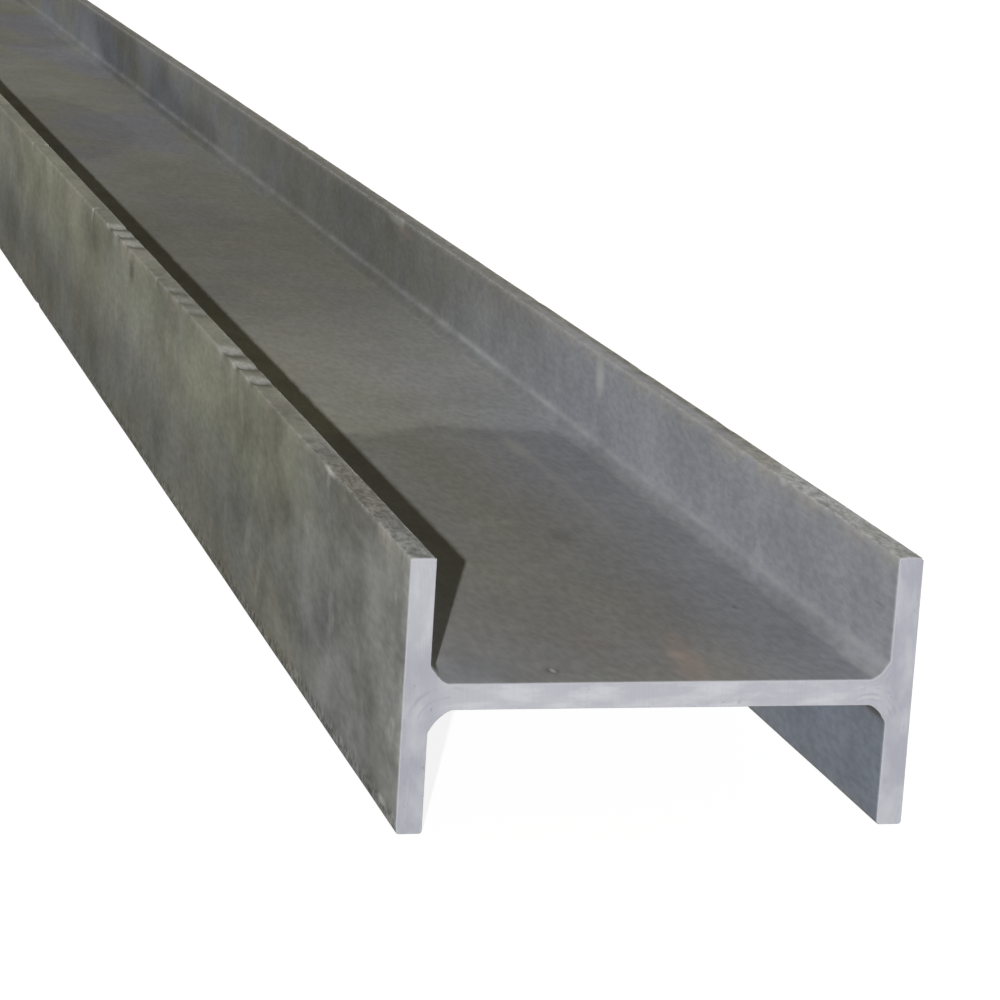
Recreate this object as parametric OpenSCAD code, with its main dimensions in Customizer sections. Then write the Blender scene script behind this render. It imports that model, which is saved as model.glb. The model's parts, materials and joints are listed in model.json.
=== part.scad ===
// Rolled steel beam with two parallel flanges and one web, lying on the tips of its
// flanges: the web is level, and a flange stands up along each side of it.
//
// Frame: +Y runs along the beam, +X crosses the section from flange to flange, and +Z
// is up. The origin is at mid length, midway between the flanges, on the plane that the
// lower flange tips rest on. Both ends are saw cuts, square to the length.

/* [Stock] */
// Length of the beam, as it is sold
beam_l = 6000; // [500:100:12000]

/* [Section] */
// Depth of the section, over the outer faces of the two flanges
depth = 200; // [120:2:400]
// Width of each flange, from tip to tip
flange_w = 106; // [70:2:300]
// Thickness of each flange
flange_t = 10.2; // [5:0.1:24]
// Thickness of the web
web_t = 10.4; // [5:0.1:20]

/* [Rolled corners] */
// Radius of the four root fillets, where the web runs into the flanges
root_r = 7.5; // [3:0.5:18]
// Radius of the corners along the flange tips
toe_r = 1.2; // [0.5:0.1:2]

/* [Hidden] */

steel = "#6f6f6a";
$fn = 64;
// How far a cut runs past the faces that it trims
past = 1;
// Clear depth between the two flanges
clear_d = depth - 2 * flange_t;

// Draws its children, which are made for the quarter where x and y are negative, in
// all four quarters
module in_each_quarter() {
    for (across = [0, 1], up = [0, 1])
        mirror([across, 0])
            mirror([0, up])
                children();
}

// What lies between a square corner at the origin and the quarter circle of radius r
// that rounds it, with the stock along +X and +Y. It runs out by extra past the corner.
module corner_waste(r, extra = 0) {
    difference() {
        translate([-extra, -extra])
            square(r + extra);
        translate([r, r])
            circle(r);
    }
}

// Section of one flange: a flat bar with its four long corners rounded
module flange_section() {
    difference() {
        square([flange_t, flange_w], center = true);
        in_each_quarter()
            translate([-flange_t / 2, -flange_w / 2])
                corner_waste(toe_r, past);
    }
}

// Section of the web, with the root fillets that fill its corners against the flanges
module web_section() {
    square([clear_d, web_t], center = true);
    in_each_quarter()
        translate([-clear_d / 2, -web_t / 2])
            mirror([0, 1])
                corner_waste(root_r);
}

// Whole section, centred where its two axes of symmetry cross
module beam_section() {
    web_section();
    for (side = [-1, 1])
        translate([side * (depth - flange_t) / 2, 0])
            flange_section();
}

// The beam is rolled as one piece, so the whole section is extruded at once
module i_beam() {
    color(steel)
        translate([0, 0, flange_w / 2])
            rotate([90, 0, 0])
                linear_extrude(beam_l, center = true)
                    beam_section();
}

i_beam();
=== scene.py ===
# %% [markdown]
# # A rolled steel I-beam, lying on its flange tips
#
# This lesson dresses a six metre length of rolled beam. The exact section comes from
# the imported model. Here it gets what rolling, handling and sawing leave on the real
# thing: soft roots, notched flange tips, a film of mill scale, and bright saw cuts.

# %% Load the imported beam
import json

import bpy
import numpy as np
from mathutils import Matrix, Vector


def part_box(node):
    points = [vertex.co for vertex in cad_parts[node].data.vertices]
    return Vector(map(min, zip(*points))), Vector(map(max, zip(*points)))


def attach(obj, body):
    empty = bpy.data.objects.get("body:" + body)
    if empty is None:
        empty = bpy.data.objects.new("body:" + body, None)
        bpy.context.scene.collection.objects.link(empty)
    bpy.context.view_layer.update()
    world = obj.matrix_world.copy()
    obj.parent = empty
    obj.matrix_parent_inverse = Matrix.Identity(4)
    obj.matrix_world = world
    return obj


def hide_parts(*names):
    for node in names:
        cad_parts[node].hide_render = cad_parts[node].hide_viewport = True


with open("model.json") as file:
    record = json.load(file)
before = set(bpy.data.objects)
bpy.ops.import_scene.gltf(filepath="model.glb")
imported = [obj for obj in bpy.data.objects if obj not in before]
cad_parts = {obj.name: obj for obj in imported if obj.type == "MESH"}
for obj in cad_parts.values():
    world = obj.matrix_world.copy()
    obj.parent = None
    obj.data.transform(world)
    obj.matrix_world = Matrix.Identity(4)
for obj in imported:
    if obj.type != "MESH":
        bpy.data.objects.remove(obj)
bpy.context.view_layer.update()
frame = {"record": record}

# %% [markdown]
# ## The sizes of the section
#
# A catalogue gives a beam by its depth, its flange width and the thickness of its web
# and flanges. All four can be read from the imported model: the first two are its box,
# and the mounts say where the faces of the web and the middle of a flange tip lie.

# %% Measure the section
MM = 0.001

low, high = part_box("i_beam")
mounts = {m["name"]: m["pos_m"] for m in frame["record"]["mounts"]}
half_depth = high.x
flange_w = high.z - low.z
flange_t = 2 * (high.x - mounts["flange_tips_top"][0])
web_top = mounts["web_upper_face"][2]
web_bottom = mounts["web_lower_face"][2]
near_end, far_end = low.y, high.y
print(f"depth {2 * half_depth / MM:.1f} mm, flanges {flange_w / MM:.1f} x {flange_t / MM:.1f} mm")
print(f"web {(web_top - web_bottom) / MM:.1f} mm, length {(far_end - near_end) / MM:.0f} mm")

# %% [markdown]
# ## The outline of the section
#
# The outline has twelve square corners. Eight are toes, which the rolls leave slightly
# round, and four are roots, where the web runs into a flange. Worn rolls make the roots
# flatter than a true quarter circle, and one of them wider than the rest. A quarter turn
# is written as powers of a cosine and a sine: a power of 1 is a circle, and a power of 2
# would be a straight chamfer.

# %% Corners of the section
TOE_R = 1.2 * MM
ROOT_R = 7.0 * MM
LOW_LEFT_ROOT_R = 9.0 * MM
TOE_STEPS = 3
ROOT_STEPS = 7
ROOT_FLATNESS = 1.45

inner = half_depth - flange_t
# Each corner, counter-clockwise as seen from the near end: x, z, radius, is it a root
corners = [
    (-half_depth, 0.0, TOE_R, False),
    (-inner, 0.0, TOE_R, False),
    (-inner, web_bottom, LOW_LEFT_ROOT_R, True),
    (inner, web_bottom, ROOT_R, True),
    (inner, 0.0, TOE_R, False),
    (half_depth, 0.0, TOE_R, False),
    (half_depth, flange_w, TOE_R, False),
    (inner, flange_w, TOE_R, False),
    (inner, web_top, ROOT_R, True),
    (-inner, web_top, ROOT_R, True),
    (-inner, flange_w, TOE_R, False),
    (-half_depth, flange_w, TOE_R, False),
]
print(len(corners), "corners")


# %% [markdown]
# Between two corners the outline is straight. Its points crowd towards both ends of
# each straight run, because the dents and the wear of a beam sit by its edges, and the
# middle of a face needs few.

# %% Draw the outline
def unit(vector):
    """The vector divided by its own length."""
    return vector / np.linalg.norm(vector)


def corner_arc(before, here, after, radius, is_root):
    """Points of one rounded corner.

    With unit vectors a and b from the corner to its neighbours, the centre is the
    corner plus radius times (a + b), and a point at turn t is the centre minus radius
    times (cos(t) to a power times b, plus sin(t) to the same power times a).
    """
    a, b = unit(before - here), unit(after - here)
    steps = ROOT_STEPS if is_root else TOE_STEPS
    power = ROOT_FLATNESS if is_root else 1.0
    turn = np.linspace(0, np.pi / 2, steps + 1)[:, None]
    return here + radius * (a + b) - radius * (np.cos(turn) ** power * b + np.sin(turn) ** power * a)


def straight_run(start, end, first_step):
    """Points strictly between start and end, at shares (1 - cos(pi k / n)) / 2.

    n is chosen so that the step next to either end is about first_step.
    """
    length = np.linalg.norm(end - start)
    n = max(2, round(np.pi / 2 / np.sqrt(first_step / length)))
    share = (1 - np.cos(np.pi * np.arange(1, n) / n))[:, None] / 2
    return start + share * (end - start)


FIRST_STEP = 2.2 * MM

places = np.array([c[:2] for c in corners])
arcs = [
    corner_arc(places[k - 1], places[k], places[(k + 1) % len(corners)], *corners[k][2:])
    for k in range(len(corners))
]
pieces_of_outline = []
for k, arc in enumerate(arcs):
    pieces_of_outline += [arc, straight_run(arc[-1], arcs[(k + 1) % len(arcs)][0], FIRST_STEP)]
outline = np.concatenate(pieces_of_outline)

ahead = np.roll(outline, -1, axis=0) - outline
behind = outline - np.roll(outline, 1, axis=0)
ahead_length = np.linalg.norm(ahead, axis=1)
tangent = ahead / ahead_length[:, None] + behind / np.linalg.norm(behind, axis=1)[:, None]
tangent /= np.linalg.norm(tangent, axis=1)[:, None]
outward = np.stack([tangent[:, 1], -tangent[:, 0]], axis=1)
girth = np.concatenate([[0], np.cumsum(ahead_length)])
print(len(outline), "points round the section, girth", round(girth[-1] / MM), "mm")


# %% [markdown]
# ## Where each finish belongs
#
# Wear depends on where a point lies in the section, and so does painted light: toes are
# rubbed bright and carry a painted highlight, roots get painted shade with a painted
# highlight on the low ridge beside them, and the web, the inner faces, the outer faces
# and the tips each meet the rolls in their own way. These shares are worked out once for
# each point of the outline and stored on the mesh, where the materials read them.

# %% Shares of each kind of face
def nearness(points, spots, reach):
    """exp(-(distance to the nearest spot / reach) squared) for each point."""
    gap = np.linalg.norm(points[:, None] - spots[None], axis=2).min(axis=1)
    return np.exp(-((gap / reach) ** 2))


TOE_REACH = 1.7 * MM
RIDGE_REACH = 1.5 * MM
LIP_REACH = 6 * MM
ROOT_REACH = 11 * MM
# Where the ridge runs, from the root's corner, in radii across and up the section
RIDGE_AT = np.array([-0.13, 0.72])
# A place whose normal leans over this far sideways is on an upright face
UPRIGHT = 0.7

is_root = np.array([c[3] for c in corners])
toes, roots = places[~is_root], places[is_root]
root_radius = np.array([c[2] for c in corners])[is_root]
towards = np.sign(roots - [0, flange_w / 2])
junctions = roots + RIDGE_AT * towards * root_radius[:, None]
side = np.abs(outline[:, 0])
across = np.abs(outward[:, 0])
in_trough = side < inner + 0.01 * MM
in_outer_half = side > half_depth - flange_t / 2

toe_share = nearness(outline, toes, TOE_REACH)
by_a_root = np.linalg.norm(outline[:, None] - roots[None], axis=2).min(axis=1) < ROOT_REACH
root_share = 2 * np.abs(outward[:, 0] * outward[:, 1]) * in_trough * by_a_root
ridge_share = nearness(outline, junctions, RIDGE_REACH)
outer_share = (across > UPRIGHT) * in_outer_half
# 0 on the web, 1 on a flange, and a soft change over the root between them
inner_share = np.clip(1.6 * across - 0.12, 0, 1) * ~in_outer_half
web_share = in_trough * (1 - inner_share)
tip_share = (across <= UPRIGHT) * ~in_trough
lip_share = nearness(outline, toes, LIP_REACH) * (across > UPRIGHT)
print("points on tips", int(tip_share.sum()), "and in roots", int((root_share > 0).sum()))

# %% [markdown]
# ## Notches along the flange tips
#
# Slings, chains and other beams strike the flange tips first. The blows leave short
# notches across a tip, often several in a row, and small nicks in the corner of a toe.
# A sling drags as it bites, so a notch runs aslant: its outer end lies farther along the
# beam. The rows by the near end are listed, and a seeded draw strews the rest.

# %% Choose the notches
rng = np.random.default_rng(71)
top_left = np.array([-half_depth + 4 * MM, flange_w])
top_right = np.array([half_depth - 3 * MM, flange_w])
top_left_toe = np.array([-half_depth, flange_w])


def notch(y, depth, half, across, down, slant, corner):
    """One notch: its place, depth, half length, reach across and down, slant and corner."""
    return (y, depth * MM, half * MM, across * MM, down * MM, slant, *corner)


def notch_row(first, pitch, count, depth, corner):
    """A row of blows: one notch each pitch along the beam, with uneven depth and length."""
    row = []
    draw = rng.uniform
    for y in near_end + first + pitch * (np.arange(count) + draw(-0.1, 0.15, count)):
        depth_here, half = depth * draw(0.8, 1.15), draw(6.5, 9.5)
        across, down, slant = draw(4.2, 5.2), draw(1.8, 2.6), draw(0.75, 0.95)
        row.append(notch(y, depth_here, half, across, down, slant, corner))
    return row


notches = notch_row(339 * MM, 34 * MM, 3, 2.0, top_left)
notches += notch_row(520 * MM, 32 * MM, 3, 0.6, top_left)
notches += notch_row(740 * MM, 33 * MM, 3, 1.7, top_left)
notches += notch_row(188 * MM, 24 * MM, 2, 0.4, top_left)
notches += notch_row(232 * MM, 160 * MM, 3, 0.4, top_right)
notches.append(notch(near_end + 149 * MM, 0.25, 9.0, 1.6, 1.4, 0.0, top_left_toe))
NICKS_PER_TOE = 3
for corner in toes[rng.permutation(len(toes))]:
    for y in rng.uniform(near_end + 0.3, far_end - 0.1, NICKS_PER_TOE):
        reach = rng.uniform(2.5, 4.5)
        notches.append(notch(y, rng.uniform(0.3, 0.9), rng.uniform(3.0, 8.0), reach, reach, 0.0, corner))
notches = np.array(notches)
notch_y, notch_depth, notch_half, notch_across, notch_down, notch_slant = notches[:, :6].T
print(len(notches), "notches, the deepest", round(notch_depth.max() / MM, 1), "mm")

# %% [markdown]
# ## Stations along the beam
#
# The outline is carried along the length and set down at stations. A plain stretch
# needs one every 30 mm or so, and a notch only reads as a notch if several stations
# cross it, so each notch brings its own, over the length that its slant spreads it to.
# The near stretch is the one that is looked at, so its stations stand closer.

# %% Set out the stations
NEAR_STRETCH = 1.2
NEAR_STEP = 9 * MM
PLAIN_STEP = 32 * MM
LEAST_STEP = 1.2 * MM
LEAST_TO_CUT = 1.5 * MM
# Where stations cross a straight notch, in half lengths, and a slanted one, in spreads
ACROSS_NOTCH = np.array([-2.0, -1.2, -0.6, 0.0, 0.6, 1.2, 2.0])
ALONG_SLANT = np.linspace(-1.1, 0.9, 13)
# The bevel round a cut: how far in from it each station lies, and how far it is sunk
BEVEL_Y = np.array([0.0, 0.15, 0.5]) * MM
BEVEL_INSET = np.array([0.35, 0.12, 0.0]) * MM
RIM_WIDTH = 0.4 * MM

plain = np.concatenate([
    np.arange(near_end + 2 * MM, near_end + NEAR_STRETCH, NEAR_STEP),
    np.arange(near_end + NEAR_STRETCH, far_end - 2 * MM, PLAIN_STEP),
])
slanted = notch_slant > 0
spread = 1.5 * notch_half + notch_slant * flange_t
at_straight = notch_y[~slanted, None] + ACROSS_NOTCH * notch_half[~slanted, None]
at_slanted = notch_y[slanted, None] + ALONG_SLANT * spread[slanted, None]
stations = np.sort(np.concatenate([plain, at_straight.ravel(), at_slanted.ravel()]))
inside = (stations > near_end + LEAST_TO_CUT) & (stations < far_end - LEAST_TO_CUT)
stations = stations[inside]
stations = stations[np.concatenate([[True], np.diff(stations) > LEAST_STEP])]
stations = np.concatenate([near_end + BEVEL_Y, stations, far_end - BEVEL_Y[::-1]])
print(len(stations), "stations")


# %% [markdown]
# ## The surface
#
# Every vertex starts on the outline and moves a little along its own normal. Inward
# moves are notches, each a bell curve along the beam and over the section, the rolling
# waves of a long flange and the bevel that a saw leaves round its cut. Outward moves are
# allowed only inside the troughs, where worn rolls leave a low ridge beside each root.
# So the box of the beam never grows.

# %% Move the vertices
# The most that a wave's phase slides, in radians for each metre of girth
MOST_SLIDE = 30
# How many sines make one uneven wave
SINES = 9


def waves(along, around, seed, shortest, longest):
    """A smooth uneven wave, mostly between -1 and 1.

    It is the sum of several sines of the distance along the beam, divided by twice the
    root of their number. Their wavelengths are drawn between shortest and longest, and
    their phases slide with the girth.
    """
    draw = np.random.default_rng(seed)
    length = np.exp(draw.uniform(np.log(shortest), np.log(longest), SINES))
    start = draw.uniform(0, 2 * np.pi, SINES)
    slide = draw.uniform(-MOST_SLIDE, MOST_SLIDE, SINES)
    phase = 2 * np.pi * along[:, None, None] / length + around[None, :, None] * slide + start
    return np.sin(phase).sum(axis=2) / np.sqrt(SINES) / 2


FLATNESS = 0.2 * MM
TIP_WAVE = 0.12 * MM
RIDGE = 0.35 * MM
GIRTH_AT = girth[:-1]

to_corner = outline[None] - notches[:, None, 6:]
share_across = to_corner[..., 0] / notch_across[:, None]
share_down = to_corner[..., 1] / notch_down[:, None]
deep = np.exp(-(share_across ** 2) - share_down ** 2)
centre_y = notch_y[:, None] - notch_slant[:, None] * to_corner[..., 0]
off_centre = (stations[:, None, None] - centre_y) / notch_half[:, None]
reach_in = deep * notch_depth[:, None]
dents = (np.exp(-(off_centre ** 2)) * reach_in).sum(axis=1)
# Painted highlight on the side of a notch that faces the near end, and painted shade on the other
notch_highlight = (np.exp(-1.5 * (off_centre - 0.7) ** 2) * reach_in).sum(axis=1)
notch_shade = (np.exp(-1.3 * (off_centre + 0.9) ** 2) * reach_in).sum(axis=1)
sway = (1 + np.clip(waves(stations, GIRTH_AT, 5, 0.15, 0.9), -1, 1)) / 2
tip_sway = (1 + np.clip(waves(stations, GIRTH_AT * 0, 6, 0.04, 0.3), -1, 1)) / 2
inward = dents + FLATNESS * sway + TIP_WAVE * tip_sway * toe_share
ridge_wander = np.clip(waves(stations, GIRTH_AT, 8, 0.02, 0.2), -1, 1)
inward -= RIDGE * (0.7 + 0.5 * ridge_wander) * ridge_share
bevel = np.zeros(len(stations))
bevel[:len(BEVEL_INSET)] = BEVEL_INSET
bevel[-len(BEVEL_INSET):] = BEVEL_INSET[::-1]
inward += bevel[:, None]

section = outline[None] - inward[..., None] * outward[None]
vertices = np.empty((len(stations), len(outline), 3))
vertices[..., 0] = section[..., 0]
vertices[..., 1] = stations[:, None]
vertices[..., 2] = section[..., 1]
print("moves between", round(-inward.max() / MM, 2), "and", round(-inward.min() / MM, 2), "mm")

# %% [markdown]
# ## Faces and the two saw cuts
#
# Four neighbouring vertices make a face. Each end is a flat saw cut with the outline of
# the section. A saw drags a bright burr along the edges of its cut, so each cut has a
# narrow rim of faces round it, whose outer vertices are marked as burr.

# %% Join the vertices into faces
n_stations, n_round = vertices.shape[:2]
row, column = np.meshgrid(np.arange(n_stations - 1), np.arange(n_round), indexing="ij")
first, beside = row * n_round + column, row * n_round + (column + 1) % n_round
skin = np.stack([first, first + n_round, beside + n_round, beside], axis=-1).reshape(-1, 4)

rings = vertices[[0, -1]].copy()
rings[..., [0, 2]] -= RIM_WIDTH * outward
points = np.concatenate([vertices.reshape(-1, 3), rings.reshape(-1, 3)])
near_ring = n_stations * n_round + np.arange(n_round)
far_ring = near_ring + n_round
near_edge, far_edge = np.arange(n_round), (n_stations - 1) * n_round + np.arange(n_round)
near_rim = np.stack([near_edge, np.roll(near_edge, -1), np.roll(near_ring, -1), near_ring], axis=1)
far_rim = np.stack([far_edge, far_ring, np.roll(far_ring, -1), np.roll(far_edge, -1)], axis=1)

mesh = bpy.data.meshes.new("rolled_beam")
rims_and_cuts = [*near_rim.tolist(), *far_rim.tolist(), near_ring.tolist(), far_ring[::-1].tolist()]
faces = [*skin.tolist(), *rims_and_cuts]
mesh.from_pydata(points.tolist(), [], faces)
is_cut = np.arange(len(faces)) >= len(skin)
mesh.polygons.foreach_set("use_smooth", ~is_cut)
mesh.polygons.foreach_set("material_index", is_cut.astype(np.int32))
print(len(faces), "faces, about", 2 * len(skin) + 6 * n_round, "triangles")


# %% [markdown]
# Each share becomes an attribute: one number kept with each vertex. A material reads an
# attribute by its name, so the finish follows the shape wherever a notch or root lies.

# %% Store the shares on the mesh
def store(name, values):
    """Keeps one number for each vertex, given as stations by points round. The rings get 0."""
    full = np.zeros(len(points), np.float32)
    full[:n_stations * n_round] = np.broadcast_to(values, (n_stations, n_round)).ravel()
    mesh.attributes.new(name, "FLOAT", "POINT").data.foreach_set("value", full)


FULL_MARK = 0.8 * MM
BURR_REACH = 0.6 * MM
to_cut = np.minimum(stations - near_end, far_end - stations)
shares = {
    "toe": toe_share, "root": root_share, "ridge": ridge_share, "web": web_share,
    "inner_face": inner_share, "outer_face": outer_share, "tip": tip_share, "lip": lip_share,
    # The two notch shares carry the painted highlight and the painted shade of each notch
    "notch_highlight": np.clip(notch_highlight / FULL_MARK, 0, 1), "notch_shade": np.clip(notch_shade / FULL_MARK, 0, 1),
    "burr": np.clip(1 - to_cut / BURR_REACH, 0, 1)[:, None],
}
for name, values in shares.items():
    store(name, values)
print(len(mesh.attributes), "attributes")

# %% [markdown]
# ## A map for baking
#
# The skin unrolls into a rectangle, girth by length. A beam is far longer than a
# square map, so the skin is cut across into strips. The first stretch is the one that
# is looked at, and gets the largest strip. The two saw cuts sit beside the others.

# %% Unroll the skin
MARGIN = 0.006
# Each strip: where it starts and ends along the beam, then its left, bottom, width, height
strips = [
    (near_end, near_end + 1.25, 0.0, 0.42, 1.0, 0.58),
    (near_end + 1.25, near_end + 3.6, 0.0, 0.21, 0.78, 0.21),
    (near_end + 3.6, far_end, 0.0, 0.0, 0.78, 0.21),
]
cuts = [(0.79, 0.22, 0.2, 0.19), (0.79, 0.02, 0.2, 0.19)]

uv = np.zeros((len(skin), 4, 2))
middle = (stations[:-1] + stations[1:]) / 2
corner_along = stations[np.stack([row, row + 1, row + 1, row], axis=-1)].reshape(-1, 4)
corner_round = girth[np.stack([column, column, column + 1, column + 1], axis=-1)].reshape(-1, 4)
corner_round /= girth[-1]
for start, end, left, bottom, width, tall in strips:
    strip = np.repeat((middle >= start) & (middle < end), n_round)
    strip_start = stations[np.argmax(middle >= start)]
    strip_end = stations[len(middle) - np.argmax(middle[::-1] < end)]
    share = (corner_along[strip] - strip_start) / (strip_end - strip_start)
    uv[strip, :, 0] = left + MARGIN + share * (width - 2 * MARGIN)
    uv[strip, :, 1] = bottom + MARGIN + corner_round[strip] * (tall - 2 * MARGIN)


def lay_flat(corners_of_faces, left, bottom, width, tall):
    """Map places of vertices on a cut: their x and z, scaled to fill a rectangle of the map."""
    flat = points[corners_of_faces.ravel()][:, [0, 2]]
    share = (flat + [half_depth, 0]) / [2 * half_depth, flange_w]
    return np.array([left, bottom]) + share * np.array([width, tall])


cut_uv = [
    lay_flat(near_rim, *cuts[0]), lay_flat(far_rim, *cuts[1]),
    lay_flat(near_ring, *cuts[0]), lay_flat(far_ring[::-1], *cuts[1]),
]
layer = mesh.uv_layers.new(name="OFBake")
layer.data.foreach_set("uv", np.concatenate([uv.reshape(-1, 2), *cut_uv]).astype(np.float32).ravel())
print("map reaches from", uv.min().round(3), "to", uv.max().round(3))


# %% [markdown]
# ## Helpers for materials
#
# A procedural material is a web of small nodes. Helpers keep it readable. The first ones
# add any node and do sums, on numbers as well as on what other nodes put out.

# %% Add nodes and do sums
def add(tree, kind, inputs=None, **options):
    """Adds one shader node. A socket given as an input is linked, and any other value is set."""
    made = tree.nodes.new("ShaderNode" + kind)
    for name, value in options.items():
        setattr(made, name, value)
    for name, value in (inputs or {}).items():
        if isinstance(value, bpy.types.NodeSocket):
            tree.links.new(value, made.inputs[name])
        else:
            made.inputs[name].default_value = value
    return made


def calc(tree, operation, *values):
    """The result of one sum on numbers or sockets."""
    return add(tree, "Math", dict(enumerate(values)), operation=operation).outputs[0]


def times(tree, first, *others):
    """The product of several numbers or sockets."""
    for other in others:
        first = calc(tree, "MULTIPLY", first, other)
    return first


print("sums ready")

# %% [markdown]
# The next ones make patterns: a fade between two limits, clouds whose lumps are measured
# in metres along each axis of the beam, and soft spots round a place.

# %% Make patterns
def fade(tree, value, start, end, to_start=0.0, to_end=1.0):
    """to_start where value is at start, to_end where it is at end, and a smooth step between."""
    inputs = {"Value": value, "From Min": start, "From Max": end, "To Min": to_start, "To Max": to_end}
    return add(tree, "MapRange", inputs, interpolation_type="SMOOTHSTEP").outputs["Result"]


def cloud(tree, place, size, seed, detail=3.0, rough=0.5):
    """Soft noise around 0.5, whose lumps measure size (x, y, z) in metres."""
    stretch = [1 / s for s in size]
    moved = add(tree, "Mapping", {"Vector": place, "Location": (seed, 1.7 * seed, -seed), "Scale": stretch})
    inputs = {"Vector": moved.outputs[0], "Scale": 1.0, "Detail": detail, "Roughness": rough}
    return add(tree, "TexNoise", inputs).outputs["Fac"]


def distance(tree, place, centre, radii):
    """How far a place is from a centre, in units of the three radii: 1 on that ellipsoid."""
    scale = [1 / r for r in radii]
    shift = [-c * s for c, s in zip(centre, scale)]
    moved = add(tree, "Mapping", {"Vector": place, "Location": shift, "Scale": scale}).outputs[0]
    return add(tree, "VectorMath", {0: moved}, operation="LENGTH").outputs["Value"]


def spot(tree, place, centre, radii, edge=0.5):
    """1 in the middle of an ellipsoid and 0 well outside it, with a soft edge between."""
    return fade(tree, distance(tree, place, centre, radii), 1 + edge, 1 - edge)


print("patterns ready")

# %% [markdown]
# The last ones handle colours and start a material.

# %% Handle colours
def blend(tree, share, first, second, how="MIX"):
    """first where share is 0 and second where it is 1."""
    inputs = {0: share, 6: first, 7: second}
    return add(tree, "Mix", inputs, data_type="RGBA", blend_type=how, clamp_factor=True).outputs[2]


def shade(tree, colour, factor):
    """A colour made lighter or darker by a factor."""
    return add(tree, "VectorMath", {0: colour, "Scale": factor}, operation="SCALE").outputs[0]


def new_material(name):
    """An empty node material, with its tree."""
    material = bpy.data.materials.new(name)
    material.use_nodes = True
    material.node_tree.nodes.clear()
    return material, material.node_tree


def tone(red, green, blue):
    """A colour from the usual 0 to 255 values, as the linear light that shaders work in."""
    share = np.array([red, green, blue]) / 255
    linear = np.where(share <= 0.04045, share / 12.92, ((share + 0.055) / 1.055) ** 2.4)
    return (*linear.tolist(), 1.0)


print("colours ready")

# %% [markdown]
# ## What a material knows about a place
#
# A finish depends on where it lies: which face it is on, how high, and how far from a
# cut. The faces come from the shares stored on the mesh, and the rest from the beam's
# own coordinates. Each material gathers these once and passes them to its layers.

# %% Gather what is known at a place
def look_up(tree):
    """The stored shares, the place, its coordinates, and how far off the cuts are.

    from_near is the distance from the near cut, and from_cut from the nearer of the two.
    """
    known = {name: add(tree, "Attribute", attribute_name=name).outputs["Fac"] for name in shares}
    known["place"] = add(tree, "TexCoord").outputs["Object"]
    parts = add(tree, "SeparateXYZ", {0: known["place"]}).outputs
    known["x"], known["z"] = parts["X"], parts["Z"]
    known["from_near"] = calc(tree, "SUBTRACT", parts["Y"], near_end)
    known["from_cut"] = calc(tree, "SUBTRACT", far_end, calc(tree, "ABSOLUTE", parts["Y"]))
    return known


# Between these distances from the near cut, the tips take on the finish beside them
TIPS_START = 0.13
TIPS_JOIN = 0.24


def spread_to_tips(tree, known):
    """A little way from the near cut, each tip takes on the finish of the face beside it.

    On the left the whole tip looks like the outer face, and on the right its inner part
    looks like the inner face. The share of a tip that does so is kept as tip_joins, and
    tip_lift is how much lighter the right one is there, as it was rubbed more.
    """
    past = times(tree, known["tip"], fade(tree, known["from_near"], TIPS_START, TIPS_JOIN))
    as_outer = times(tree, past, fade(tree, known["x"], 0.02, -0.02))
    inner_part = fade(tree, known["x"], inner + 0.85 * flange_t, inner + 0.4 * flange_t)
    as_inner = times(tree, past, fade(tree, known["x"], -0.02, 0.02), inner_part)
    known["outer_face"] = calc(tree, "MAXIMUM", known["outer_face"], as_outer)
    known["inner_face"] = calc(tree, "MAXIMUM", known["inner_face"], as_inner)
    known["tip_joins"] = calc(tree, "ADD", as_outer, as_inner)
    known["tip_lift"] = times(tree, as_inner, 0.28)


print(len(shares), "shares for the materials")

# %% [markdown]
# ## Mill scale: its hue
#
# Hot steel leaves the rolls under a thin skin of oxide. It is a warm grey on the web and
# the outer faces, and slate where the rolls pressed it smooth inside the troughs. Rain
# and handling turn it olive in clouds, mostly high on the outer faces, and leave tan
# along the lips. Hue is painted first, with tones of about the same lightness.

# %% Tones of the mill scale
WARM = tone(126, 126, 119)
NEUTRAL = tone(124, 126, 125)
SLATE = tone(120, 123, 133)
LAVENDER = tone(125, 127, 134)
BLUE_STEEL = tone(122, 131, 145)
OLIVE = tone(127, 129, 113)
TAN = tone(142, 138, 127)
TIP = tone(141, 138, 131)
TIP_COOL = tone(150, 152, 152)
BLUSH = tone(146, 124, 114)
# The film of rust on the web is multiplied in
RUST_FILM = (1.0, 0.968, 0.99, 1.0)
print("tones ready")


# %% [markdown]
# A tone is laid over the last one, by the share of a face times the share of a cloud or
# of a distance. So a patch of slate ends softly, and stays on its own face.

# %% Hue of each face
def trough_hue(tree, known, colour, broad, by_cut):
    """Slate patches under a film of rust on the web, and lavender and blue inner faces."""
    web, inside = known["web"], known["inner_face"]
    far_on = fade(tree, known["from_near"], 1.0, 1.8)
    drift = times(tree, far_on, fade(tree, broad, 0.42, 0.58))
    to_right = times(tree, fade(tree, known["x"], -0.01, 0.06), fade(tree, known["from_near"], 0.95, 0.4))
    slate = calc(tree, "MAXIMUM", calc(tree, "MAXIMUM", to_right, drift), by_cut)
    colour = blend(tree, times(tree, web, slate, 0.9), colour, SLATE)
    colour = blend(tree, web, colour, RUST_FILM, "MULTIPLY")
    lavender = calc(tree, "MAXIMUM", fade(tree, known["from_near"], 0.85, 0.4), drift)
    colour = blend(tree, times(tree, inside, lavender, 0.9), colour, LAVENDER)
    underneath = fade(tree, known["z"], web_bottom, web_bottom - 12 * MM)
    blue = fade(tree, known["from_cut"], 0.03, 0.3, 0.65, 0.2)
    return blend(tree, times(tree, inside, underneath, blue), colour, BLUE_STEEL)


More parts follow.
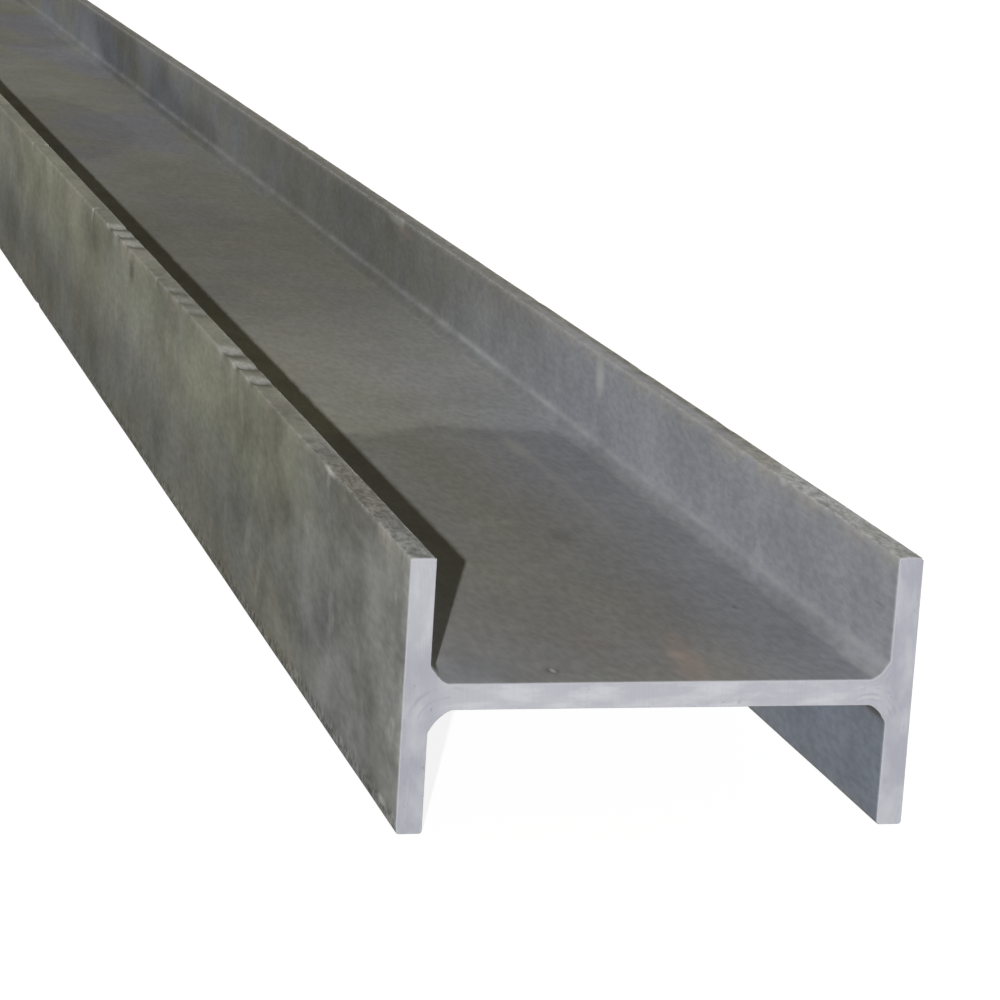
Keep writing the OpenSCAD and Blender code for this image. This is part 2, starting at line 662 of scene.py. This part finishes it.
def outer_hue(tree, known, colour, broad, by_cut):
    """Lavender by a cut, olive high on the outer faces and faintly on the web, tan on top."""
    outer = known["outer_face"]
    colour = blend(tree, times(tree, outer, by_cut, 0.65), colour, LAVENDER)
    high = fade(tree, known["z"], 0.035, 0.085, 0.15, 0.95)
    on_outer = times(tree, outer, high, fade(tree, known["from_cut"], 0.1, 0.3))
    soft_olive = fade(tree, broad, 0.75, 0.25, 0.45, 1.0)
    olive = times(tree, soft_olive, calc(tree, "MAXIMUM", on_outer, times(tree, known["web"], 0.3)))
    colour = blend(tree, olive, colour, OLIVE)
    tan_cloud = fade(tree, cloud(tree, known["place"], (0.05, 0.09, 0.05), 24.0, 2.0), 0.5, 0.62)
    sun_tan = times(tree, outer, fade(tree, known["z"], 0.06, 0.095), tan_cloud)
    sun_tan = times(tree, sun_tan, fade(tree, known["from_cut"], 0.15, 0.3), 0.5)
    return blend(tree, sun_tan, colour, TAN)


def lip_hue(tree, known, colour):
    """Tan in short lengths along the lips, mostly the upper ones."""
    along_lip = cloud(tree, known["place"], (0.1, 0.035, 0.1), 23.0, 3.0, 0.6)
    along_lip = fade(tree, along_lip, 0.38, 0.62, 0.25, 1.0)
    upper_lip = times(tree, known["lip"], fade(tree, known["z"], 0.05, 0.06, 0.2, 1.0))
    return blend(tree, times(tree, upper_lip, along_lip, 0.55), colour, TAN)


def scale_hue(tree, known):
    """The colour of the scale before it is made lighter or darker."""
    broad = cloud(tree, known["place"], (0.1, 0.25, 0.1), 3.1, 2.0)
    patches = cloud(tree, known["place"], (0.05, 0.12, 0.05), 17.7, 4.0, 0.5)
    by_cut = fade(tree, known["from_cut"], 0.2, 0.03, 0.0, 0.45)
    colour = blend(tree, fade(tree, patches, 0.3, 0.7), WARM, NEUTRAL)
    colour = trough_hue(tree, known, colour, broad, by_cut)
    colour = outer_hue(tree, known, colour, broad, by_cut)
    return lip_hue(tree, known, colour)


print("hues ready")

# %% [markdown]
# ## Mill scale: light and dark
#
# The skin is mottled where it was rained on and scuffed: patches one to three
# centimetres wide on the outer faces, and much fainter ones on the web. Puddles on the
# web dry to a darker patch inside a pale tide line. The inner faces start paler, and
# the heat of the saw leaves a pale band beside each cut.

# %% Puddles on the web
# Each puddle: its middle across and along the web, half width, half length, and tide
PUDDLES = [
    (0.02, 0.2, 0.14, 0.262, 0.38), (-0.03, 1.72, 0.07, 0.22, 0.1), (0.03, 2.7, 0.08, 0.3, 0.12),
    (-0.01, 3.85, 0.06, 0.36, 0.08), (0.02, 5.1, 0.12, 0.28, 0.14),
]
# How much lighter than the hue's tones the web is where no puddle lay
DRY_WEB = 0.1


def puddle_stains(tree, known):
    """Darker inside each puddle, paler past its tide line, and slow changes along the web."""
    wander = cloud(tree, known["place"], (0.035, 0.06, 0.035), 29.0, 4.0, 0.55)
    effect = DRY_WEB
    for x, y, half_width, half_length, tide in PUDDLES:
        gap = distance(tree, known["place"], (x, near_end + y, web_top), (half_width, half_length, 1.0))
        gap = calc(tree, "MULTIPLY_ADD", wander, 0.4, gap)
        inside = fade(tree, gap, 1.25, 1.13, 0.0, -0.12 * tide)
        paler = times(tree, fade(tree, gap, 1.16, 1.27), fade(tree, gap, 2.9, 1.5), tide)
        effect = calc(tree, "ADD", effect, calc(tree, "ADD", inside, paler))
    beside_cut = fade(tree, known["from_cut"], 0.09, 0.01, 0.0, 0.15)
    by_end = fade(tree, known["from_cut"], 0.3, 0.1, 0.0, 0.07)
    far_on = fade(tree, known["from_near"], 0.65, 1.1, 0.0, -0.15)
    later = fade(tree, known["from_near"], 1.4, 2.2, 0.0, 0.13)
    drift = fade(tree, cloud(tree, known["place"], (0.06, 0.16, 0.1), 30.0, 3.0), 0.3, 0.7, -0.04, 0.04)
    for part in (beside_cut, by_end, far_on, later, drift):
        effect = calc(tree, "ADD", effect, part)
    return calc(tree, "MULTIPLY_ADD", effect, known["web"], 1.0)


print(len(PUDDLES), "puddles")

# %% [markdown]
# The rest of the lightness is a product of factors around 1. Each is written as 1 plus a
# share times a change, so that it leaves the other faces alone. Clouds come first.

# %% Mottles and flecks
def mottles(tree, known):
    """Clouds and grain: strong on the outer faces, and much weaker in the troughs."""
    place, outer, inside = known["place"], known["outer_face"], known["inner_face"]
    near_cut = fade(tree, known["from_cut"], 0.4, 0.1, 0.3, 1.0)
    broad = fade(tree, cloud(tree, place, (0.09, 0.14, 0.07), 9.3, 2.0), 0.25, 0.75, -0.14, 0.14)
    mottle = fade(tree, cloud(tree, place, (0.03, 0.045, 0.026), 7.7, 4.0, 0.5), 0.2, 0.8, -0.3, 0.3)
    smudge = fade(tree, cloud(tree, place, (0.02, 0.018, 0.03), 5.7, 3.0, 0.5), 0.6, 0.74, 0.0, 0.3)
    fine = calc(tree, "ADD", mottle, smudge)
    on_outer = calc(tree, "MULTIPLY_ADD", fine, near_cut, broad)
    trough_part = calc(tree, "MULTIPLY_ADD", inside, 0.18, 0.2)
    elsewhere = times(tree, trough_part, calc(tree, "ADD", broad, fine))
    clouds = calc(tree, "ADD", calc(tree, "MULTIPLY_ADD", outer, on_outer, elsewhere), 1.0)
    grain = fade(tree, cloud(tree, place, (0.0028, 0.009, 0.0028), 13.0, 3.0, 0.6), 0.3, 0.7, 0.9, 1.1)
    return times(tree, clouds, grain)


def rough_edge(tree, known):
    """Dark and pale flecks along the low edge of an outer face, where it was dragged."""
    flecks = cloud(tree, known["place"], (0.005, 0.0045, 0.004), 15.0, 2.0, 0.6)
    flecks = fade(tree, flecks, 0.38, 0.62, -0.4, 0.25)
    low_edge = times(tree, known["outer_face"], fade(tree, known["z"], 0.009, 0.004))
    return calc(tree, "MULTIPLY_ADD", low_edge, flecks, 1.0)


print("mottles ready")

# %% [markdown]
# The outer faces, the inner faces and the roots each have their own light and dark,
# which changes with the height and with the distance from a cut. The roots get painted
# shade, and so do the inner faces below the web.

# %% Lightness of the mill scale
def outer_light(tree, known):
    """On the outer faces: lighter high up and darker low down, and pale beside a cut."""
    from_cut, outer = known["from_cut"], known["outer_face"]
    low = fade(tree, from_cut, 0.12, 0.4, 0.11, -0.14)
    low = calc(tree, "ADD", low, fade(tree, from_cut, 0.5, 0.7, 0.0, -0.07))
    high = fade(tree, from_cut, 0.1, 0.28, -0.04, 0.13)
    by_height = calc(tree, "MULTIPLY_ADD", outer, fade(tree, known["z"], 0.03, 0.075, low, high), 1.0)
    narrow_band = fade(tree, from_cut, 0.012, 0.002, 0.0, 0.3)
    wide_band = fade(tree, from_cut, 0.1, 0.03, 0.0, 0.25)
    beside_cut = calc(tree, "MULTIPLY_ADD", outer, calc(tree, "ADD", narrow_band, wide_band), 1.0)
    return times(tree, by_height, rough_edge(tree, known), beside_cut)


def inner_light(tree, known):
    """On the inner faces: pale by the near cut, darker farther on, and painted shade below the web."""
    from_near = known["from_near"]
    drift = cloud(tree, known["place"], (0.12, 0.5, 0.12), 37.0, 2.0)
    drift = fade(tree, drift, 0.4, 0.6, -0.1, 0.25)
    pale = fade(tree, from_near, 1.0, 0.1, -0.25, 0.42)
    pale = calc(tree, "MULTIPLY_ADD", fade(tree, from_near, 1.0, 1.9), drift, pale)
    pale = calc(tree, "ADD", pale, fade(tree, from_near, 0.65, 0.85, 0.0, -0.09))
    # Painted shade on the inner faces below the web
    shade_below_web = fade(tree, known["z"], web_top, web_bottom, 0.0, -0.3)
    return calc(tree, "MULTIPLY_ADD", known["inner_face"], calc(tree, "ADD", pale, shade_below_web), 1.0)


def root_shade(tree, known):
    """Painted shade in the roots: a little darker, and least so by the near cut."""
    # Painted shade, deepest halfway round each root
    change = fade(tree, known["from_near"], 0.1, 0.03, -0.27, -0.07)
    change = calc(tree, "ADD", change, fade(tree, known["from_near"], 0.37, 0.5, 0.0, 0.13))
    return calc(tree, "MULTIPLY_ADD", known["root"], change, 1.0)


def scale_lightness(tree, known):
    """The product of mottles, tips, the light of each kind of face with its painted shade, and stains."""
    on_tip = calc(tree, "ADD", known["tip_lift"], 1.0)
    faces = [outer_light(tree, known), inner_light(tree, known), root_shade(tree, known)]
    return times(tree, mottles(tree, known), on_tip, *faces, puddle_stains(tree, known))


print("lightness ready")

# %% [markdown]
# ## Mill scale: marks, wear and painted light
#
# The last layer is damage, with painted highlights and painted shade. It has tones of its
# own, from bare steel to a dark pit, and these also paint the highlights and the shade.

# %% Tones of the marks
# Bare steel, also the colour of the painted highlights on toes and notches
BARE_STEEL_AND_HIGHLIGHT = tone(176, 177, 177)
GOUGED = tone(222, 222, 219)
PALE = tone(150, 151, 146)
BLOOM = tone(178, 150, 139)
PINK = tone(178, 164, 155)
SANDY = tone(152, 145, 133)
SAWN_EDGE = tone(138, 139, 144)
# The colour of the painted highlight along the ridge beside each root
RIDGE_HIGHLIGHT = tone(154, 155, 157)
DULL = tone(100, 99, 93)
# A dark pit, also the colour of the painted shade in notches
PIT_AND_SHADE = tone(60, 60, 56)
print("tones of the marks ready")

# %% [markdown]
# Rust blushes, scuffs and pits of the near stretch are listed one by one, as soft spots, and
# clouds strew the rest.

# %% Marks listed one by one
MARK_DEPTH = 4 * MM
# Marks on the web, in mm: middle across and along, radii the same way, strength and tone
ON_WEB = [
    (15, 12, 6.2, 13, 0.24, BLOOM),
    (18.5, 34, 5.6, 14, 0.3, BLOOM),
    (22.5, 58, 5, 13, 0.14, BLOOM),
    (28, 19, 12, 18, 0.28, SANDY),
    (16, 38, 2.5, 5, 0.4, PINK),
    (51.5, 350, 3, 100, 0.26, PALE),
    (-12, 60, 10, 24, 0.14, BLUSH),
    (-39, 16, 2.2, 3.4, 0.6, PIT_AND_SHADE),
    (-38.8, 16.5, 0.9, 2.6, 1.0, BARE_STEEL_AND_HIGHLIGHT),
    (63.3, 109, 0.8, 3, 0.45, PIT_AND_SHADE),
    (65.5, 118, 1, 5, 0.3, PALE),
    (-72, 14, 16, 20, 0.45, SLATE),
    (23, 232, 5, 12, 0.2, PIT_AND_SHADE),
    (50, 418, 4, 20, 0.5, PALE),
    (-11, 600, 9, 6, 0.35, PALE),
    (49, 557, 2, 18, 0.3, PALE),
]
# Marks on the inner face of the right flange: middle along and up, and radii the same way
ON_INNER_FACE = [
    (650, 87, 6, 7, 0.25, PALE),
    (885, 103.5, 22, 2.5, 0.6, PALE),
    (857, 99, 20, 3, 0.3, BLUSH),
    (415, 94.5, 6.5, 8, 0.8, BARE_STEEL_AND_HIGHLIGHT),
    (18, 83.6, 6, 0.4, 0.3, PIT_AND_SHADE),
]
# Marks on the outer face of the left flange, given the same way
ON_OUTER_FACE = [
    (60, 44, 34, 22, 0.14, PIT_AND_SHADE),
    (46, 79, 8, 7, 0.5, PALE),
    (40, 20, 7, 8, 0.35, PALE),
    (66, 18, 5, 8, 0.35, PALE),
    (86, 29, 9, 2.5, 0.6, PALE),
    (122, 66, 8, 5, 0.4, PALE),
    (160, 17, 30, 7, 0.3, PALE),
    (245, 15, 8, 5, 0.45, PALE),
    (220, 77, 20, 4, 0.25, PALE),
    (85, 93.5, 18, 1.5, 0.45, PALE),
    (24, 98, 10, 2, 0.5, PALE),
    (716, 95, 9, 6, 0.55, PIT_AND_SHADE),
    (870, 88, 20, 6, 0.25, PIT_AND_SHADE),
    (26, 5.5, 4.5, 1.4, 1.0, BARE_STEEL_AND_HIGHLIGHT),
]


def y_at(along):
    """The y of a place that lies this many mm from the near cut."""
    return near_end + along * MM


MARKS = []
for x, y, half_x, half_y, strength, paint in ON_WEB:
    radii = (half_x * MM, half_y * MM, MARK_DEPTH)
    MARKS.append(((x * MM, y_at(y), web_top), radii, strength, paint))
for face, rows_of_marks in ((inner, ON_INNER_FACE), (-half_depth, ON_OUTER_FACE)):
    for y, z, half_y, half_z, strength, paint in rows_of_marks:
        radii = (MARK_DEPTH, half_y * MM, half_z * MM)
        MARKS.append(((face, y_at(y), z * MM), radii, strength, paint))
# Two gouges in edges, and a dull stretch of the left tip
MARKS += [
    ((inner, y_at(137), 104.5 * MM), (3 * MM, 4 * MM, 1.8 * MM), 0.9, BARE_STEEL_AND_HIGHLIGHT),
    ((-half_depth, y_at(149), flange_w), (1.9 * MM, 10 * MM, 1.9 * MM), 1.0, GOUGED),
    ((-half_depth + 5 * MM, y_at(105), flange_w), (8 * MM, 45 * MM, 3 * MM), 0.85, DULL),
]


print(len(MARKS), "marks set by hand")

# %% [markdown]
# The marks go on first, and then wear and painted light follow the shape. A painted
# highlight runs where each root meets its flange, along the low ridge there. Tips are
# speckled, toes are rubbed towards bare steel and carry a painted highlight, and each
# notch has a painted highlight on one side and painted shade on the other. The edge
# beside a cut is as clean as the cut itself.

# %% Wear and painted light on the mill scale
def set_marks(tree, known, colour):
    """The colour with each mark blended in, inside its own ellipsoid."""
    for centre, radii, strength, paint in MARKS:
        share = times(tree, spot(tree, known["place"], centre, radii, 0.8), strength)
        colour = blend(tree, share, colour, paint)
    return colour


def blushes_and_ridge_highlights(tree, known, colour):
    """Rust blushes in clouds past half a metre, and a painted highlight on the ridge beside each root."""
    place, from_near = known["place"], known["from_near"]
    blush = fade(tree, cloud(tree, place, (0.03, 0.06, 0.03), 21.0, 4.0, 0.6), 0.66, 0.76, 0.0, 0.4)
    colour = blend(tree, times(tree, blush, fade(tree, from_near, 0.5, 1.0)), colour, BLUSH)
    uneven = fade(tree, cloud(tree, place, (0.01, 0.03, 0.01), 33.0, 4.0, 0.6), 0.35, 0.65, 0.4, 1.0)
    uneven = times(tree, uneven, fade(tree, from_near, 0.6, 0.9, 0.85, 0.35))
    # A painted highlight along the ridge beside each root
    return blend(tree, times(tree, known["ridge"], uneven), colour, RIDGE_HIGHLIGHT)


def worn_tips(tree, known, colour, speckle):
    """Speckled and blotched tips, the right one lighter, fading into the faces farther on."""
    on_right = fade(tree, known["x"], -0.05, 0.05)
    cool = fade(tree, calc(tree, "MULTIPLY_ADD", on_right, -0.1, known["from_near"]), 0.09, 0.03)
    more_on_right = fade(tree, known["from_near"], TIPS_START, TIPS_JOIN, 0.47, 0.15)
    light = calc(tree, "MULTIPLY_ADD", on_right, more_on_right, 0.8)
    light = times(tree, light, fade(tree, speckle, 0.34, 0.66, 0.72, 1.38))
    blotch = cloud(tree, known["place"], (0.005, 0.012, 0.005), 35.0, 3.0)
    light = times(tree, light, fade(tree, blotch, 0.35, 0.65, 0.82, 1.18))
    tip_colour = shade(tree, blend(tree, cool, TIP, TIP_COOL), light)
    tip_shows = calc(tree, "MULTIPLY_ADD", known["tip_joins"], -0.65, 0.9)
    return blend(tree, times(tree, known["tip"], tip_shows), colour, tip_colour)


def edges_rubbed_and_highlit(tree, known, colour, speckle):
    """Toes rubbed towards bare steel with a painted highlight; painted highlight and shade on notches."""
    from_middle = calc(tree, "ABSOLUTE", known["x"])
    inner_edge = fade(tree, from_middle, inner + 0.6 * flange_t, inner + 0.4 * flange_t)
    by_near_end = fade(tree, known["from_near"], 0.25, 0.12, 0.35, 1.0)
    line_shows = calc(tree, "MAXIMUM", inner_edge, by_near_end)
    # Toes rubbed towards bare steel, and partly a painted highlight along them
    rub_and_highlight = times(tree, line_shows, fade(tree, speckle, 0.42, 0.62, 0.05, 0.45))
    colour = blend(tree, times(tree, known["toe"], rub_and_highlight), colour, BARE_STEEL_AND_HIGHLIGHT)
    # Painted shade on the side of each notch that faces away from the near end
    colour = blend(tree, times(tree, known["notch_shade"], 0.55), colour, PIT_AND_SHADE)
    # Painted highlight on the side of each notch that faces the near end
    notch_highlight = times(tree, known["notch_highlight"], fade(tree, speckle, 0.4, 0.6, 0.3, 0.6))
    return blend(tree, notch_highlight, colour, BARE_STEEL_AND_HIGHLIGHT)


def worn_and_lit_colour(tree, known, colour):
    """The colour with marks, blushes, ridge highlights, tips, painted-light edges, clean steel by a cut."""
    speckle = cloud(tree, known["place"], (0.0015, 0.0045, 0.0015), 31.0, 4.0, 0.65)
    colour = set_marks(tree, known, colour)
    colour = blushes_and_ridge_highlights(tree, known, colour)
    colour = worn_tips(tree, known, colour, speckle)
    colour = edges_rubbed_and_highlit(tree, known, colour, speckle)
    return blend(tree, fade(tree, known["burr"], 0.1, 0.6), colour, SAWN_EDGE)


print("wear ready")

# %% [markdown]
# ## Mill scale: its sheen and relief
#
# Scale is smooth but not polished. Where it has flaked it is duller, and where it was
# rubbed it shines. Its relief is slight: a fine orange peel, shallow flakes a few
# millimetres wide, and faint lines along the beam from the rolls.

# %% Build the mill scale
SCALE_RELIEF = 0.1 * MM


def scale_relief(tree, place):
    """Height of the scale, between 0 and about 1, from grain, flakes and roll lines."""
    grain = cloud(tree, place, (0.0016, 0.0022, 0.0016), 41.0, 2.0)
    flakes = fade(tree, cloud(tree, place, (0.011, 0.016, 0.011), 43.0, 4.0, 0.6), 0.47, 0.53)
    lines = cloud(tree, place, (0.0025, 0.3, 0.0025), 47.0, 2.0)
    height = calc(tree, "MULTIPLY_ADD", flakes, 0.2, times(tree, grain, 0.4))
    return calc(tree, "MULTIPLY_ADD", lines, 0.35, height)


def mill_scale():
    """The material of everything but the saw cuts."""
    material, tree = new_material("mill_scale")
    known = look_up(tree)
    spread_to_tips(tree, known)
    colour = shade(tree, scale_hue(tree, known), scale_lightness(tree, known))
    colour = worn_and_lit_colour(tree, known, colour)
    sheen = cloud(tree, known["place"], (0.03, 0.05, 0.03), 51.0, 4.0, 0.6)
    rub_and_highlight = calc(tree, "MAXIMUM", known["toe"], known["notch_highlight"])
    rough = calc(tree, "MULTIPLY_ADD", rub_and_highlight, -0.1, fade(tree, sheen, 0.35, 0.65, 0.46, 0.62))
    height = scale_relief(tree, known["place"])
    bump = add(tree, "Bump", {"Height": height, "Distance": SCALE_RELIEF, "Strength": 1.0})
    inputs = {"Base Color": colour, "Roughness": rough, "Normal": bump.outputs[0], "Metallic": 0.2}
    surface = add(tree, "BsdfPrincipled", inputs)
    add(tree, "OutputMaterial", {"Surface": surface.outputs[0]})
    return material


mill_scale_material = mill_scale()
print(len(mill_scale_material.node_tree.nodes), "nodes in", mill_scale_material.name)

# %% [markdown]
# ## Saw-cut steel
#
# A saw leaves fine marks, nearly upright here, in wide arcs about the blade's axle. Faint
# rings follow the roots, where the cut shows how the steel flowed round them in rolling.

# %% Lines on the cut
SAW_AXLE = (-0.55, 0.0, 0.03)
# A radius for the direction along the beam, so large that a pattern does not change that way
ENDLESS = 1e3
# Each flow ring: which root it follows (x, z signs) and how far from it the ring lies
FLOW_RINGS = [(1, -1, 9.5), (1, -1, 11.6), (1, -1, 14.2), (-1, -1, 12.0), (-1, -1, 16.0), (1, 1, 9.5)]


def flow_rings(tree, place):
    """Thin lines at given distances from the centres of the root fillets."""
    lines = 0.0
    mid_z = flange_w / 2
    for side_x, side_z, radius in FLOW_RINGS:
        centre = (side_x * (inner - ROOT_R), 0.0, mid_z + side_z * (web_top - mid_z + ROOT_R))
        gap = distance(tree, place, centre, (radius * MM, ENDLESS, radius * MM))
        off = calc(tree, "ABSOLUTE", calc(tree, "SUBTRACT", gap, 1.0))
        reach = distance(tree, place, (side_x * inner, 0.0, mid_z), (12 * MM, ENDLESS, 9 * MM))
        line = times(tree, fade(tree, off, 0.07, 0.0), fade(tree, reach, 1.4, 0.6))
        lines = calc(tree, "MAXIMUM", lines, line)
    return times(tree, lines, fade(tree, cloud(tree, place, (0.006, 1.0, 0.006), 63.0), 0.35, 0.6))


def saw_marks(tree, known):
    """Fine arcs about the saw's axle: noise read by the distance from it."""
    shift = [-c for c in SAW_AXLE]
    moved = add(tree, "Mapping", {"Vector": known["place"], "Location": shift, "Scale": (1, 0, 1)})
    radius = add(tree, "VectorMath", {0: moved.outputs[0]}, operation="LENGTH").outputs["Value"]
    ring_at = add(tree, "CombineXYZ", {"X": radius, "Z": times(tree, known["z"], 0.02)}).outputs[0]
    return cloud(tree, ring_at, (0.0009, 1.0, 0.0009), 67.0, 3.0, 0.7)


print(len(FLOW_RINGS), "flow rings")

# %% [markdown]
# The cut metal is clean and pale, a touch brighter along the web than on the flanges.

# %% Build the saw-cut steel
CUT = tone(135, 136, 144)
CUT_PALE = tone(160, 161, 165)
CUT_MARK = tone(108, 109, 117)
CUT_BURR = tone(168, 169, 170)
SAW_RELIEF = 0.05 * MM


def cut_patches(tree, known):
    """How much a place is in the web, and clouds of pale metal, flatter there."""
    place = known["place"]
    along_web = fade(tree, calc(tree, "ABSOLUTE", known["x"]), inner + 2 * MM, inner - 10 * MM)
    patches = cloud(tree, place, (0.011, 0.03, 0.02), 61.0, 5.0, 0.6)
    streaks = cloud(tree, place, (0.02, 0.03, 0.006), 62.0, 5.0, 0.6)
    change = calc(tree, "SUBTRACT", streaks, patches)
    return along_web, calc(tree, "MULTIPLY_ADD", along_web, change, patches)


def cut_colour(tree, known, along_web, patches):
    """Paler along the web, high on the left flange, by the left root and in the patches."""
    place = known["place"]
    high_left = times(tree, spot(tree, place, (-half_depth, near_end, flange_w), (0.02, 0.02, 0.035)), 0.6)
    pale = calc(tree, "MAXIMUM", times(tree, along_web, 0.35), high_left)
    by_left_root = spot(tree, place, (-0.07, near_end, flange_w / 2), (0.035, 0.02, 0.01))
    pale = calc(tree, "MULTIPLY_ADD", by_left_root, 0.2, pale)
    pale = calc(tree, "ADD", pale, fade(tree, patches, 0.42, 0.7, 0.0, 0.6))
    to_left = fade(tree, known["x"], -half_depth, 0.0, 0.98, 1.02)
    return shade(tree, blend(tree, pale, CUT, CUT_PALE), to_left)


def sawn_steel():
    """The material of the two end faces."""
    material, tree = new_material("sawn_steel")
    known = look_up(tree)
    place = known["place"]
    along_web, patches = cut_patches(tree, known)
    marks = saw_marks(tree, known)
    colour = cut_colour(tree, known, along_web, patches)
    colour = blend(tree, fade(tree, marks, 0.45, 0.7, 0.0, 0.1), colour, CUT_MARK)
    colour = blend(tree, times(tree, flow_rings(tree, place), 0.3), colour, CUT_MARK)
    blemish = fade(tree, cloud(tree, place, (0.0022, 0.01, 0.003), 71.0, 2.0), 0.7, 0.78, 0.0, 0.5)
    colour = blend(tree, blemish, colour, CUT_MARK)
    burr_shows = fade(tree, cloud(tree, place, (0.004, 1.0, 0.004), 73.0, 3.0), 0.4, 0.6, 0.0, 0.35)
    colour = blend(tree, times(tree, known["burr"], burr_shows), colour, CUT_BURR)
    bump = add(tree, "Bump", {"Height": marks, "Distance": SAW_RELIEF, "Strength": 1.0})
    rough = fade(tree, patches, 0.35, 0.65, 0.5, 0.42)
    inputs = {"Base Color": colour, "Roughness": rough, "Normal": bump.outputs[0], "Metallic": 0.35}
    surface = add(tree, "BsdfPrincipled", inputs)
    add(tree, "OutputMaterial", {"Surface": surface.outputs[0]})
    return material


sawn_steel_material = sawn_steel()
print(len(sawn_steel_material.node_tree.nodes), "nodes in", sawn_steel_material.name)

# %% [markdown]
# ## One piece in the frame
#
# The mesh becomes one object at the origin, since its place is in its vertices. It rides
# on the only body, and stands for the plain solid, which stays behind for collisions.

# %% Put the beam in the frame
beam = bpy.data.objects.new("rolled_beam", mesh)
bpy.context.scene.collection.objects.link(beam)
mesh.materials.append(mill_scale_material)
mesh.materials.append(sawn_steel_material)
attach(beam, "root")
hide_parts("i_beam")
print("beam in place")

# %% [markdown]
# ## The floor
#
# The floor is a plain white sheet. It shows to the camera only, because so much white
# underneath would otherwise wash out the dark steel. Most of its white is a glow of its
# own, so the beam leaves only a faint shadow on it.

# %% Lay the floor
FLOOR_HALF = 80.0
FLOOR_GREY = (0.16, 0.16, 0.16, 1)
FLOOR_GLOW = 0.89
WHITE = (1, 1, 1, 1)

floor_mesh = bpy.data.meshes.new("floor")
floor_corners = FLOOR_HALF * np.array([(-1, -1, 0), (1, -1, 0), (1, 1, 0), (-1, 1, 0)])
floor_mesh.from_pydata(floor_corners.tolist(), [], [(0, 1, 2, 3)])
floor = bpy.data.objects.new("floor", floor_mesh)
bpy.context.scene.collection.objects.link(floor)
floor_material, floor_tree = new_material("pale_floor")
floor_surface = add(floor_tree, "BsdfPrincipled", {
    "Base Color": FLOOR_GREY, "Roughness": 0.9,
    "Emission Color": WHITE, "Emission Strength": FLOOR_GLOW,
})
add(floor_tree, "OutputMaterial", {"Surface": floor_surface.outputs[0]})
floor_mesh.materials.append(floor_material)
floor.visible_diffuse = False
floor.visible_glossy = False
print("floor", 2 * FLOOR_HALF, "m square")


# %% [markdown]
# ## The light
#
# One small sun stands low behind the camera's left shoulder and gives the crisp shadow
# of the left flange on the web. It is kept out of reflections, or the web would glare
# white when seen from the far end. A weaker, broad one from behind reaches the far side.
# A sun's strength is in watts a square metre. Its angle, which is how wide it looks, is
# given here in degrees.

# %% Light the beam
from mathutils import Matrix, Vector


def sun(name, travel, strength, angle, colour):
    """A distant lamp whose light travels in the direction travel."""
    lamp = bpy.data.lights.new(name, "SUN")
    lamp.energy = strength
    lamp.angle = np.radians(angle)
    lamp.color = colour
    holder = bpy.data.objects.new(name, lamp)
    holder.rotation_euler = Vector(travel).to_track_quat("-Z", "Y").to_euler()
    bpy.context.scene.collection.objects.link(holder)
    return holder


key = sun("key", (0.292, 0.927, -0.233), 8.65, 0.6, (0.99, 0.99, 1.0))
key.visible_glossy = False
sun("back_fill", (-0.74, -0.66, -0.07), 4.0, 25, (0.97, 0.98, 1.0))

# %% [markdown]
# A dim dome fills the rest, a little brighter overhead. The camera sees plain white in
# its place, which a switch on the kind of ray brings about.

# %% Hang the dome
DOME_LOW = (0.088, 0.083, 0.064, 1)
DOME_HIGH = (0.113, 0.103, 0.07, 1)

world = bpy.data.worlds.new("studio")
bpy.context.scene.world = world
world.use_nodes = True
world.node_tree.nodes.clear()
dome = world.node_tree
direction = add(dome, "TexCoord").outputs["Generated"]
up = add(dome, "SeparateXYZ", {0: direction}).outputs["Z"]
soft = blend(dome, fade(dome, up, -0.2, 0.5), DOME_LOW, DOME_HIGH)
seen = add(dome, "LightPath").outputs["Is Camera Ray"]
lit = add(dome, "Background", {"Color": soft, "Strength": 1.0})
white = add(dome, "Background", {"Color": WHITE, "Strength": 1.0})
shown = add(dome, "MixShader", {0: seen, 1: lit.outputs[0], 2: white.outputs[0]})
add(dome, "OutputWorld", {"Surface": shown.outputs[0]})
bpy.context.scene.view_settings.view_transform = "Standard"
print("dome ready")

# %% [markdown]
# ## The camera
#
# The eye is a little over a metre from the near end, to its left and above it, and looks
# down along the beam. A long lens lets the near end fill the frame from there. The
# camera's own axes are built from where it looks and which way is up for it.

# %% Set the camera
LENS_MM = 122.65
SENSOR_MM = 36
NEAREST = 0.05
FARTHEST = 400

eye = Vector((-0.3799, near_end - 1.1746, 0.3975))
look = Vector((0.25074, 0.94349, -0.21667)).normalized()
top = Vector((-0.00374, 0.22476, 0.97441))
right = look.cross(top).normalized()
top = right.cross(look)
lens = bpy.data.cameras.new("camera")
lens.sensor_width = SENSOR_MM
lens.lens = LENS_MM
lens.clip_start = NEAREST
lens.clip_end = FARTHEST
camera = bpy.data.objects.new("camera", lens)
turn = Matrix((right, top, -look)).transposed().to_4x4()
camera.matrix_world = Matrix.Translation(eye) @ turn
bpy.context.scene.collection.objects.link(camera)
bpy.context.scene.camera = camera
print("camera at", [round(v, 3) for v in eye])
